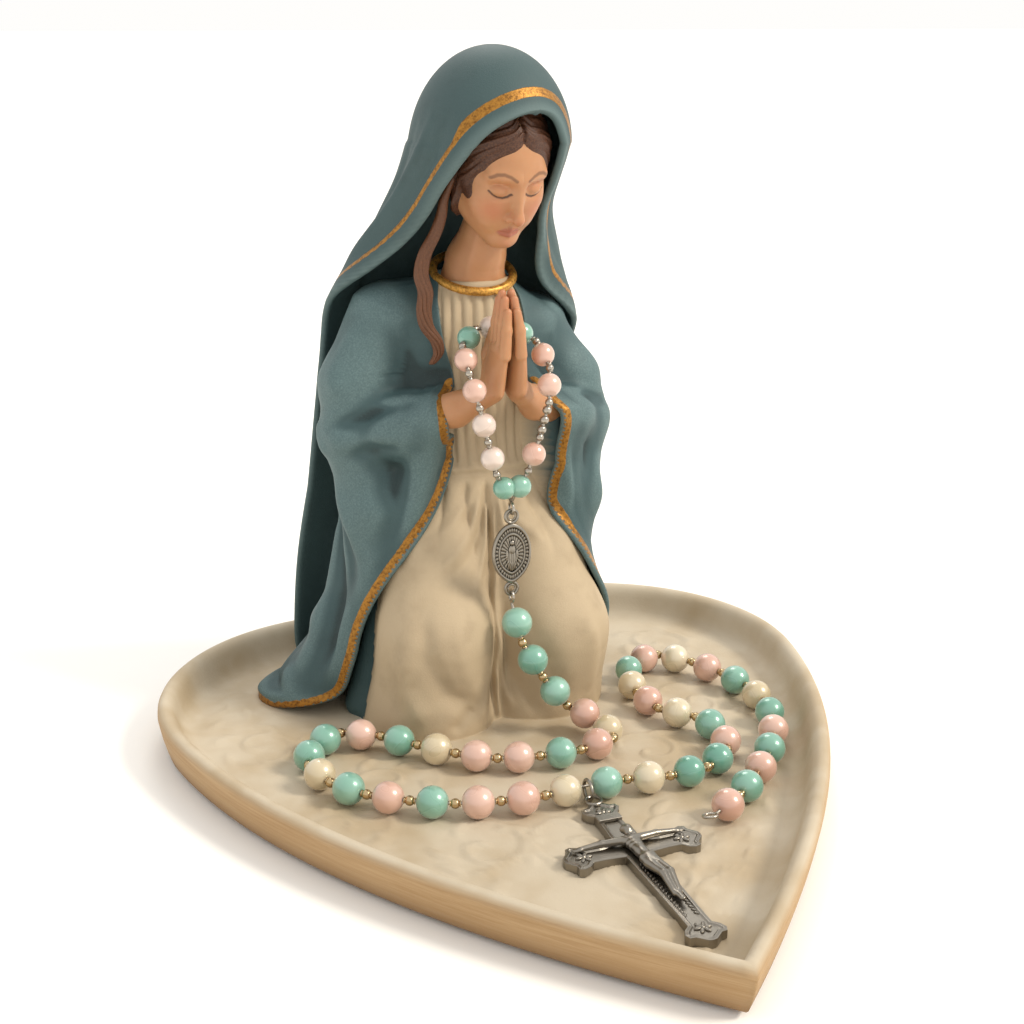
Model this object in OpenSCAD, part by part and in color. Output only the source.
// Kneeling Madonna in a heart-shaped dish, with a rosary on the hands and in the dish.
// The figure faces -Y, the tip of the heart points to -Y, and +Z is up. Millimetres.
// The origin is the centre of the dish's underside, where its felt pads stand.

/* [Dish] */
// Radius of the two round lobes of the heart
lobe_r = 55; // [54:0.5:57]
// Distance of each lobe's centre from the middle plane
lobe_x = 35; // [34:0.5:36]
// How far the lobes' centres lie behind the origin
lobe_y = 47; // [46:0.5:48]
// How far the tip lies in front of the origin
tip_y = 102; // [100:1:106]
// Height of the rim above the table
rim_h = 13; // [12:0.5:16]
// Height of the dish's floor above the table
floor_h = 3.9; // [3.8:0.1:3.9]
// Width of the rim's rounded lip
lip_w = 5; // [4:0.5:5]
// Thickness of the felt pads
pad_t = 1; // [0.6:0.2:1.4]
// Radius of the felt pads
pad_r = 7; // [4:1:10]

/* [Rosary] */
// Diameter of the pearls on the strand in the dish
pearl_d = 8; // [7:0.5:8]
// Diameter of the pearls on the loop round the hands
loop_pearl_d = 6; // [5:0.5:6]
// Diameter of the small metal beads between the pearls
spacer_d = 2.1; // [2:0.1:2.5]
// Diameter of the wire
wire_d = 0.8; // [0.6:0.1:0.8]
// Room between the wire and a pearl's bore, on the radius
bore_gap = 0.06; // [0.04:0.02:0.1]

/* [Medal] */
// Width of the medal
medal_w = 10.5; // [9:0.5:11]
// Height of the medal from its top to its point
medal_h = 16; // [15:0.5:17]
// Thickness of the medal's plate
medal_t = 1.4; // [1.2:0.2:1.8]

/* [Crucifix] */
// Length of the cross from its top to its foot
cross_l = 60; // [56:1:62]
// Width across the two arms
cross_w = 34; // [30:1:36]
// Width of the cross's bars
bar_w = 5.6; // [5:0.2:6.4]
// Thickness of the cross
cross_t = 2.2; // [2:0.2:2.4]

/* [Hidden] */

outline_steps = 26;     // points along each half of the heart
shoulder = 11.5;        // how far each lobe's arc runs past the side, in degrees
bulge = 0.42;           // how full the sides are between the arcs and the tip
body_facets = 16;       // facets of the cloth masses
hand_facets = 12;       // facets of the fingers and the face
wire_sides = 8;
joint_gap = 0.2;        // room under the crucifix

// Places of the links, the medal and the crucifix
medal_x = -0.5;
medal_y = 28;
medal_z = 53;
link_r = 1.7;           // mean radius of a link
link_t = 0.4;           // radius of its wire
cross_x = 2;
cross_y = -16;          // where the strand carries the crucifix
strand_z = 8;           // height of the pearls' centres in the dish
ring_r = 2.55;          // mean radius of the crucifix's ring
ring_t = 0.45;          // radius of its wire

// The strand from the medal down over the lap and round the dish to the crucifix
strand_a_route = [
    [-0.5, 28, 39.4], [-0.5, 26, 36], [0, 24, 32], [2, 22, 27], [5, 21, 21.5], [9, 20, 15], [14, 19, 10],
    [18, 17, 8.2], [21, 12, 8], [20, 6, 8], [13, 2, 8], [2, 2, 8], [-8, 3, 8], [-17, 7, 8], [-26, 15, 8],
    [-35, 25, 8], [-42, 31, 8], [-50, 32, 8], [-56, 27, 8], [-58, 18, 8], [-55, 7, 8], [-47, -3, 8],
    [-38, -9, 8], [-28, -14, 8], [-18, -16, 8], [-8, -17, 8], [2, -16, 8]];
// The strand from the crucifix round the right side of the dish to its end ring
strand_b_route = [
    [2, -16, 8], [10, -16, 8], [20, -18, 8], [30, -19, 8], [39, -15, 8], [46, -7, 8], [47, 2, 8],
    [43, 10, 8], [37, 17, 8], [36, 27, 8], [38, 38, 8], [42, 46, 8], [49, 50, 8], [56, 46, 8], [62, 36, 8],
    [66, 24, 8], [66, 12, 8], [63, 0, 8], [56, -11, 8], [48, -21, 8], [38, -30, 8], [31, -36, 8], [25, -39, 8]];
// The loop from the medal up over the hands and down again
loop_route = [
    [-0.5, 28, 66.9], [-4.5, 27, 74], [-6.8, 26.5, 82], [-9, 26.5, 91], [-10.8, 28, 99], [-11, 34.5, 105],
    [-7, 41.5, 108], [0.5, 44, 109.5], [7.5, 41.5, 107.5], [11, 34.5, 103.5], [10.2, 28.5, 97], [8.5, 26.5, 90],
    [6, 26.5, 82], [3.2, 27, 74], [-0.5, 28, 66.9]];
// Colours of the pearls in their order: Mint, Pink, Cream, White, and Silver for a run of small beads
strand_a_order = "MMMPCPMPPCMPMMCMPMPPC";
strand_b_order = "MCMMPMCPCMPCPMCMPMPMP";
loop_order = "MWWPPMWMPPSPM";
strand_a_count = len(strand_a_order);
strand_b_count = len(strand_b_order);
loop_count = len(loop_order);

mint = [0.62, 0.80, 0.72];
pink = [0.93, 0.80, 0.75];
cream = [0.93, 0.89, 0.80];
silver = [0.72, 0.71, 0.68];
cloth_blue = [0.42, 0.56, 0.58];
cloth_cream = [0.87, 0.81, 0.70];
skin = [0.87, 0.70, 0.56];
gold = [0.68, 0.50, 0.22];

// ---- Routes: a smooth curve through the points, and places along it at equal steps

function catmull(p, q, r, s, t) = 0.5 * (2 * q + (r - p) * t + (2 * p - 5 * q + 4 * r - s) * t * t
    + (3 * q - p - 3 * r + s) * t * t * t);
function pick(route, i) = route[max(0, min(len(route) - 1, i))];
function smooth(route, steps = 8) = [for (i = [0:len(route) - 2]) for (k = [0:steps - 1])
    catmull(pick(route, i - 1), route[i], route[i + 1], pick(route, i + 2), k / steps), route[len(route) - 1]];
function running(line, i = 0, sum = 0) = i == len(line) - 1 ? [sum]
    : concat([sum], running(line, i + 1, sum + norm(line[i + 1] - line[i])));
function find(sums, s, i = 0) = i >= len(sums) - 2 || sums[i + 1] > s ? i : find(sums, s, i + 1);
function along(line, sums, s) = let (i = find(sums, s), t = (s - sums[i]) / (sums[i + 1] - sums[i]))
    line[i] + (line[i + 1] - line[i]) * min(1, max(0, t));
function stations(route, count) = let (line = smooth(route), sums = running(line), whole = sums[len(sums) - 1])
    [for (i = [0:count]) along(line, sums, whole * i / count)];
function unit(v) = v / norm(v);
function tangent(pts, i) = unit(pick(pts, i + 1) - pick(pts, i - 1));

strand_a = stations(strand_a_route, strand_a_count);
strand_b = stations(strand_b_route, strand_b_count);
hand_loop = stations(loop_route, loop_count);

// Turns the z axis onto a direction
module point_along(v) {
    rotate([0, acos(v[2] / norm(v)), atan2(v[1], v[0])]) children();
}

// One tube through a row of points
module wire(pts, d) {
    n = wire_sides;
    rings = [for (i = [0:len(pts) - 1]) let (t = tangent(pts, i),
        side = unit(cross(t, abs(t[2]) > 0.8 ? [1, 0, 0] : [0, 0, 1])), up = cross(side, t))
        [for (k = [0:n - 1]) pts[i] + d / 2 * (side * cos(360 * k / n) + up * sin(360 * k / n))]];
    points = [for (ring = rings) for (p = ring) p];
    sides = [for (i = [0:len(pts) - 2]) for (k = [0:n - 1]) let (a = i * n + k, b = i * n + (k + 1) % n)
        each [[a, a + n, b + n], [a, b + n, b]]];
    last = (len(pts) - 1) * n;
    polyhedron(points, concat(sides, [[for (k = [0:n - 1]) k]], [[for (k = [n - 1:-1:0]) last + k]]));
}

// A pearl with its bore along the wire
module pearl(from, to, d) {
    translate((from + to) / 2) point_along(to - from) difference() {
        sphere(d = d, $fn = 48);
        cylinder(d = wire_d + 2 * bore_gap, h = 2 * d, center = true, $fn = 24);
    }
}

module pearls(pts, order, code, d) {
    for (i = [0:len(order) - 1]) if (order[i] == code) pearl(pts[i], pts[i + 1], d);
}

// The small metal bead at each bend of the wire
module spacers(pts, d) {
    for (i = [1:len(pts) - 2]) translate(pts[i]) point_along(tangent(pts, i)) difference() {
        sphere(d = d, $fn = 32);
        cylinder(d = wire_d + 2 * bore_gap, h = 2 * d, center = true, $fn = 24);
    }
}

module ring(r, t) {
    rotate_extrude($fn = 40) translate([r, 0]) circle(r = t, $fn = 20);
}

// ---- Dish

function lobe_arc(cut) = let (start = acos(-lobe_x / (lobe_r - cut)))
    [for (i = [0:outline_steps]) let (a = start - (start + shoulder) * i / outline_steps)
        [lobe_x + (lobe_r - cut) * cos(a), lobe_y + (lobe_r - cut) * sin(a)]];
function side_curve(cut) = let (p = lobe_arc(cut)[outline_steps], q = [0, -tip_y + cut * 1.28],
    m = p + bulge * norm(q - p) * [-sin(shoulder), -cos(shoulder)])
    [for (i = [1:outline_steps]) let (t = i / outline_steps)
        (1 - t) * (1 - t) * p + 2 * t * (1 - t) * m + t * t * q];
function half_heart(cut) = concat(lobe_arc(cut), side_curve(cut));
function heart(cut, z) = let (half = half_heart(cut), n = len(half))
    concat([for (p = half) [p[0], p[1], z]], [for (i = [n - 2:-1:1]) [-half[i][0], half[i][1], z]]);

module dish() {
    rows = [[3.4, pad_t], [2, pad_t + 1.2], [0.8, rim_h * 0.5], [0, rim_h - 2.4], [0.5, rim_h - 0.7],
        [1.7, rim_h], [lip_w - 1.8, rim_h - 0.3], [lip_w - 0.6, rim_h - 1.6], [lip_w, rim_h - 3.4],
        [lip_w + 1.2, floor_h + 1.6], [lip_w + 3, floor_h + 0.4], [lip_w + 5, floor_h]];
    points = [for (row = rows) each heart(row[0], row[1])];
    n = len(points) / len(rows);
    sides = [for (i = [0:len(rows) - 2]) for (k = [0:n - 1]) let (a = i * n + k, b = i * n + (k + 1) % n)
        each [[a, a + n, b + n], [a, b + n, b]]];
    last = (len(rows) - 1) * n;
    color([0.86, 0.80, 0.70])
        polyhedron(points, concat(sides, [[for (k = [0:n - 1]) k]], [[for (k = [n - 1:-1:0]) last + k]]));
}

pad_places = [[50, 55], [-50, 55], [0, -70], [0, 60]];
module felt_pads() {
    color([0.35, 0.30, 0.26]) for (p = pad_places) translate(p) cylinder(r = pad_r, h = pad_t, $fn = 40);
}

// ---- Figure: masses of cloth and skin, each one cut clear of the masses it lies on

module mass(p, s) {
    translate(p) scale(s) sphere(1, $fn = body_facets);
}
module knob(p, r) {
    translate(p) sphere(r, $fn = hand_facets);
}
module link(p, s, q, t) {
    hull() {
        mass(p, s);
        mass(q, t);
    }
}
module limb(pts) {
    for (i = [0:len(pts) - 2]) hull() {
        knob([pts[i][0], pts[i][1], pts[i][2]], pts[i][3]);
        knob([pts[i + 1][0], pts[i + 1][1], pts[i + 1][2]], pts[i + 1][3]);
    }
}
module on_floor() {
    intersection() {
        translate([-100, -100, floor_h]) cube([200, 220, 200]);
        union() children();
    }
}

module head_mass() {
    limb([[1, 64, 116, 8.5], [1.5, 62, 122, 7.6], [2.5, 57, 131, 7.4]]);
    link([5, 50, 150], [11.4, 14, 13], [5, 47.5, 141], [9, 10, 9.5]);
    link([5, 44, 142], [8.2, 7, 8], [5, 41.5, 135.5], [4.6, 4.6, 4.2]);
    limb([[5, 38.5, 147.5, 1.6], [5, 36.3, 142.5, 1.9], [5, 38.5, 141.5, 2]]);
    limb([[-1.5, 42, 149, 4.2], [8.5, 42, 149, 4.2]]);
    limb([[-3, 44, 141, 4.6], [10, 44, 141, 4.6]]);
    limb([[-7, 52, 144, 2.5], [-7, 53, 139.5, 2]]);
}
module hair_mass() {
    link([5, 53, 152], [13.2, 14.5, 13.6], [5, 57, 142], [12.6, 11, 11]);
    limb([[-8.5, 50, 150, 4], [-10.5, 53, 141, 4.4], [-12, 53, 132, 4.2], [-13, 52, 124, 3.8],
        [-14, 50.5, 116, 3.4], [-13, 49.5, 109, 2.6], [-13.5, 49, 103, 1.4]]);
    limb([[15.5, 50, 150, 4], [16.5, 54, 142, 4], [15, 58, 133, 3.6]]);
}
module right_hand_mass() {
    limb([[-15, 45, 87, 5.2], [-9, 39, 90.5, 4.6], [-4, 34.5, 94.5, 4.2]]);
    link([-2.6, 34, 96], [2.9, 5.6, 4], [-2.2, 32, 105], [2.5, 5.6, 4]);
    for (k = [0:3]) limb([[-1.9, 27.6 + 2.7 * k, 106, 1.9], [-1.4, 27.2 + 2.6 * k, 112.5, 1.7],
        [-1.1, 27.2 + 2.4 * k, 118 - 1.1 * abs(k - 1.2), 1.35]]);
    limb([[-3, 37.5, 97, 2.4], [-2.4, 39, 103, 2], [-1.6, 37.8, 109, 1.5]]);
}
module left_hand_mass() {
    translate([1, 0, 0]) mirror([1, 0, 0]) right_hand_mass();
}
module dress_mass() {
    on_floor() {
        link([0, 63, 106], [25, 12, 9], [0, 63, 88], [23, 14, 10]);
        link([0, 64, 113], [15, 9, 5], [0, 64, 104], [26, 12, 8]);
        link([0, 63, 88], [23, 14, 10], [0, 62, 66], [21, 16, 10]);
        link([0, 62, 66], [21, 16, 10], [-14, 58, 44], [18, 18, 14]);
        link([0, 62, 66], [21, 16, 10], [13, 58, 44], [17, 18, 14]);
        link([-14, 58, 44], [18, 18, 14], [-17, 42, 27], [16, 16, 17]);
        link([13, 58, 44], [17, 18, 14], [15, 42, 26], [15, 16, 17]);
        link([-17, 42, 27], [16, 16, 17], [-19, 45, 4], [19, 21, 6]);
        link([15, 42, 26], [15, 16, 17], [13, 45, 4], [18, 20, 6]);
        link([-17, 60, 22], [20, 18, 20], [15, 60, 22], [17, 18, 20]);
        link([-22, 62, 4], [18, 16, 6], [14, 62, 4], [18, 16, 6]);
    }
}
module right_sleeve_mass() {
    limb([[-26, 66, 104, 10], [-30, 64, 92, 10], [-31, 60, 80, 9.5], [-22, 50, 83, 9], [-15, 44, 86, 7]]);
    limb([[-31, 60, 80, 9.5], [-32, 60, 62, 8], [-34, 60, 42, 7], [-38, 60, 22, 6]]);
    limb([[-15, 44, 86, 7], [-17, 47, 72, 5], [-21, 50, 56, 5], [-29, 52, 38, 5]]);
    hull() {
        knob([-15, 44, 86], 7);
        knob([-31, 60, 80], 9.5);
        knob([-17, 47, 70], 5);
        knob([-32, 60, 62], 8);
    }
    hull() {
        knob([-17, 47, 70], 5);
        knob([-32, 60, 62], 8);
        knob([-29, 52, 38], 5);
        knob([-36, 60, 38], 7);
    }
}
module left_sleeve_mass() {
    limb([[24, 66, 104, 9.5], [27, 62, 92, 9.5], [29, 57, 80, 9.5], [22, 48, 83, 8.5], [16, 43, 86, 6.5]]);
    limb([[29, 57, 80, 9.5], [28, 56, 64, 7], [28, 56, 50, 6], [29, 54, 40, 4]]);
    hull() {
        knob([16, 43, 86], 6.5);
        knob([29, 57, 80], 9.5);
        knob([20, 45, 68], 4);
        knob([28, 56, 62], 7);
    }
    hull() {
        knob([20, 45, 68], 4);
        knob([28, 56, 62], 7);
        knob([26, 49, 44], 3);
        knob([30, 56, 42], 4);
    }
}
module mantle_mass() {
    on_floor() {
        link([0, 70, 104], [35, 13.5, 9], [-1, 71, 88], [36, 13.5, 9]);
        link([-1, 71, 88], [36, 13.5, 9], [-4, 70, 60], [39, 13, 10]);
        link([-4, 70, 60], [39, 13, 10], [-9, 67, 30], [42, 14, 12]);
        link([-9, 67, 30], [42, 14, 12], [-12, 67, 4], [45, 14.5, 6]);
        link([-38, 62, 30], [10, 12, 14], [-44, 66, 4], [16, 15, 6]);
        link([-30, 66, 60], [14, 14, 12], [-38, 62, 30], [10, 12, 14]);
        link([-38, 60, 24], [8, 8, 12], [-41, 60, 4], [12, 12, 5]);
        link([22, 66, 60], [12, 14, 12], [22, 66, 24], [12, 14, 12]);
        link([22, 66, 24], [12, 14, 12], [22, 68, 4], [13, 14, 6]);
    }
}
module veil_mass() {
    link([5, 53, 153], [18.5, 20, 23], [4, 60, 138], [20, 17, 16]);
    link([4, 60, 138], [20, 17, 16], [1, 66, 120], [27, 15, 10]);
    link([1, 66, 120], [27, 15, 10], [-1, 70, 106], [36, 15, 6]);
    link([1, 68, 114], [30, 15, 6], [-25, 68, 107], [13, 14, 5]);
    link([1, 68, 114], [30, 15, 6], [25, 66, 107], [11, 13, 5]);
    link([-9, 50, 140], [7, 9, 10], [-17, 62, 118], [9, 10, 8]);
    link([17, 50, 140], [7, 9, 10], [20, 60, 118], [8, 9, 8]);
    link([-12, 56, 130], [8, 10, 10], [-26, 67, 110], [11, 12, 6]);
}
module face_opening() {
    link([5, 30, 149], [13.4, 24, 14.5], [5, 26, 128], [11.5, 26, 16]);
    link([1, 40, 118], [13, 22, 12], [2, 40, 98], [15, 22, 10]);
}

module head() color(skin) render() difference() {
    head_mass();
    translate([1, 64, 98]) mass([0, 0, 0], [9, 9, 11]);
}
module hair() color([0.36, 0.22, 0.13]) difference() {
    hair_mass();
    head_mass();
    link([5, 30, 145], [9.6, 18, 13], [5, 36, 128], [8.6, 18, 10]);
}
collar_seat = [1, 64, 116.6];
module collar_place() {
    translate(collar_seat) rotate([20, 0, 0]) children();
}
module collar() color(gold) collar_place() rotate_extrude($fn = 48) translate([13.2, 0]) circle(r = 1.3, $fn = 20);
module collar_room() {
    collar_place() rotate_extrude($fn = 32) translate([13.2, 0]) circle(r = 1.5, $fn = 12);
}
module right_hand() color(skin) right_hand_mass();
module left_hand() color(skin) difference() {
    left_hand_mass();
    right_hand_mass();
}
module dress() color(cloth_cream) difference() {
    dress_mass();
    head_mass();
    hair_mass();
    collar_room();
}
module right_sleeve() color(cloth_blue) difference() {
    right_sleeve_mass();
    dress_mass();
    right_hand_mass();
    hair_mass();
}
module left_sleeve() color(cloth_blue) difference() {
    left_sleeve_mass();
    dress_mass();
    left_hand_mass();
}
module mantle() color(cloth_blue * 0.92) difference() {
    mantle_mass();
    dress_mass();
    right_sleeve_mass();
    left_sleeve_mass();
    head_mass();
    hair_mass();
    collar_room();
}
module veil() color(cloth_blue * 1.08) difference() {
    veil_mass();
    face_opening();
    dress_mass();
    right_sleeve_mass();
    left_sleeve_mass();
    mantle_mass();
    head_mass();
    hair_mass();
    collar_room();
}

// ---- Rosary

module loop_wire() color(silver) wire(hand_loop, wire_d);
module loop_pearls_pink() color(pink) pearls(hand_loop, loop_order, "P", loop_pearl_d);
module loop_pearls_white() color(cream) pearls(hand_loop, loop_order, "W", loop_pearl_d);
module loop_pearls_mint() color(mint) pearls(hand_loop, loop_order, "M", loop_pearl_d);
module loop_spacers() color(silver) spacers(hand_loop, spacer_d * 0.8);
module loop_silver_beads() color(silver) for (i = [0:loop_count - 1]) if (loop_order[i] == "S")
    for (t = [0.33, 0.67]) let (a = hand_loop[i], b = hand_loop[i + 1])
        pearl(a + (b - a) * (t - 0.1), a + (b - a) * (t + 0.1), spacer_d * 0.9);

module strand_wire() color(silver) {
    wire(strand_a, wire_d);
    wire([for (i = [0:strand_b_count]) i == 0 ? strand_b[0] + [0.02, 0, 0] : strand_b[i]], wire_d);
}
module strand_pearls(code) {
    pearls(strand_a, strand_a_order, code, pearl_d);
    pearls(strand_b, strand_b_order, code, pearl_d);
}
module strand_pearls_mint() color(mint) strand_pearls("M");
module strand_pearls_pink() color(pink) strand_pearls("P");
module strand_pearls_cream() color(cream) strand_pearls("C");
module strand_spacers() color(gold) {
    spacers(strand_a, spacer_d);
    spacers(strand_b, spacer_d);
}
module strand_end_ring() color(silver)
    translate(strand_b[strand_b_count] + [-link_r, -0.4, 0]) ring(link_r, link_t);

// ---- Medal: an oval plate with a point below, its relief, and the links above and below it

function medal_outline(w, h) = [for (a = [0:12:348]) let (s = sin(a), c = cos(a))
    [w / 2 * c * (s < 0 ? 1 - 0.18 * pow(-s, 3) : 1), h / 2 * (s < 0 ? s * (1 + 0.12 * pow(-s, 6)) / 1.12 : s)]];
module medal_place() {
    translate([medal_x, medal_y, medal_z]) rotate([90, 0, 0]) children();
}
module medal_plate() color(silver) medal_place() {
    linear_extrude(medal_t - 0.5, center = true) polygon(medal_outline(medal_w, medal_h));
    linear_extrude(medal_t, center = true) difference() {
        polygon(medal_outline(medal_w, medal_h));
        polygon(medal_outline(medal_w - 1.8, medal_h - 1.8));
    }
}
module medal_relief() color(silver) medal_place() translate([0, 0, (medal_t - 0.5) / 2]) {
    linear_extrude(0.5) difference() {
        polygon(medal_outline(medal_w * 0.66, medal_h * 0.72));
        polygon(medal_outline(medal_w * 0.54, medal_h * 0.62));
    }
    linear_extrude(0.7) translate([0, 2.6]) circle(d = 1.7, $fn = 24);
    linear_extrude(0.6) polygon([[-0.7, 1.6], [0.7, 1.6], [1.9, -3], [0, -4], [-1.9, -3]]);
}
upper_ring_z = medal_z + medal_h / 2 + link_r + link_t - 0.1;
lower_ring_z = medal_z - medal_h / 2 - link_r - link_t + 0.5;
module medal_rings() color(silver) {
    for (z = [upper_ring_z, lower_ring_z])
        translate([medal_x, medal_y, z]) rotate([90, 0, 0]) ring(link_r, link_t);
}

// The eyes at the ends of the two wires, each linked with one of the medal's rings
eye_r = 1.5;
eye_t = 0.35;
eye_step = 2.2;         // from a ring's centre to its eye's centre
module wire_eyes() color(silver) for (z = [upper_ring_z + eye_step, lower_ring_z - eye_step])
    translate([medal_x, medal_y, z]) rotate([0, 90, 0]) ring(eye_r, eye_t);

// ---- Crucifix, lying on its back with its foot towards the tip of the heart

cross_z = floor_h + joint_gap;
cross_top = cross_y - 5.3;
cross_bar = cross_top - cross_l * 0.36;
function finial(r) = [for (a = [-120:30:120]) let (k = 1 + 0.22 * abs(sin(1.5 * a))) [r * k * cos(a), r * k * sin(a)]];
module cross_end(p, turn) {
    translate(p) rotate(turn) polygon(concat([[-7, -bar_w / 2], [-3, -bar_w / 2]],
        [for (q = finial(4.1)) q + [-1, 0]], [[-3, bar_w / 2], [-7, bar_w / 2]]));
}
module crucifix_cross() color(silver) {
    translate([cross_x, 0, cross_z]) {
        linear_extrude(cross_t) union() {
            translate([-bar_w / 2, cross_top - cross_l + 5]) square([bar_w, cross_l - 10]);
            translate([-cross_w / 2 + 5, cross_bar - bar_w / 2]) square([cross_w - 10, bar_w]);
            cross_end([0, cross_top - 4.4], 90);
            cross_end([0, cross_top - cross_l + 4.4], -90);
            cross_end([-cross_w / 2 + 4.4, cross_bar], 180);
            cross_end([cross_w / 2 - 4.4, cross_bar], 0);
        }
        translate([0, cross_top + 0.7, cross_t + 0.05]) ring(1.9, 0.45);
        translate([-3, cross_top - 9.4, cross_t - 0.1]) cube([6, 3, 0.8]);
    }
}
module corpus_limb(a, b, r, s) {
    hull() {
        translate(a) sphere(r, $fn = 10);
        translate(b) sphere(s, $fn = 10);
    }
}
module crucifix_corpus() color(silver) translate([cross_x, cross_bar, cross_z + cross_t]) difference() {
    union() {
        corpus_limb([0, 1.2, 1], [0, -6, 1], 1.9, 1.5);
        corpus_limb([0, -6, 1], [0.2, -9, 1.1], 1.6, 1.9);
        corpus_limb([0, 2.6, 1.2], [0, 4.4, 1.5], 0.8, 1.4);
        corpus_limb([1, 1, 1], [7, 2, 0.8], 1, 0.8);
        corpus_limb([7, 2, 0.8], [12, 1.8, 0.5], 0.8, 0.6);
        corpus_limb([-1, 1, 1], [-7, 2, 0.8], 1, 0.8);
        corpus_limb([-7, 2, 0.8], [-12, 1.8, 0.5], 0.8, 0.6);
        corpus_limb([0.9, -9, 1], [1.6, -15, 1.6], 1.4, 1.2);
        corpus_limb([-0.9, -9, 1], [-0.2, -15, 1.6], 1.4, 1.2);
        corpus_limb([1.4, -15, 1.5], [0.5, -22, 0.6], 1.1, 0.8);
        corpus_limb([-0.2, -15, 1.5], [-0.3, -22, 0.6], 1.1, 0.8);
        corpus_limb([0, -22, 0.7], [0, -24.5, 1], 0.9, 0.8);
    }
    translate([-20, -40, -5]) cube([40, 60, 5]);
}
module crucifix_ring() color(silver)
    translate([cross_x, cross_y - 1.5, strand_z - 0.5]) rotate([0, 90, 0]) ring(ring_r, ring_t);

dish();
felt_pads();
dress();
mantle();
right_sleeve();
left_sleeve();
veil();
head();
hair();
collar();
right_hand();
left_hand();
loop_wire();
loop_pearls_pink();
loop_pearls_white();
loop_pearls_mint();
loop_spacers();
loop_silver_beads();
medal_plate();
medal_relief();
medal_rings();
wire_eyes();
strand_wire();
strand_pearls_mint();
strand_pearls_pink();
strand_pearls_cream();
strand_spacers();
strand_end_ring();
crucifix_cross();
crucifix_corpus();
crucifix_ring();
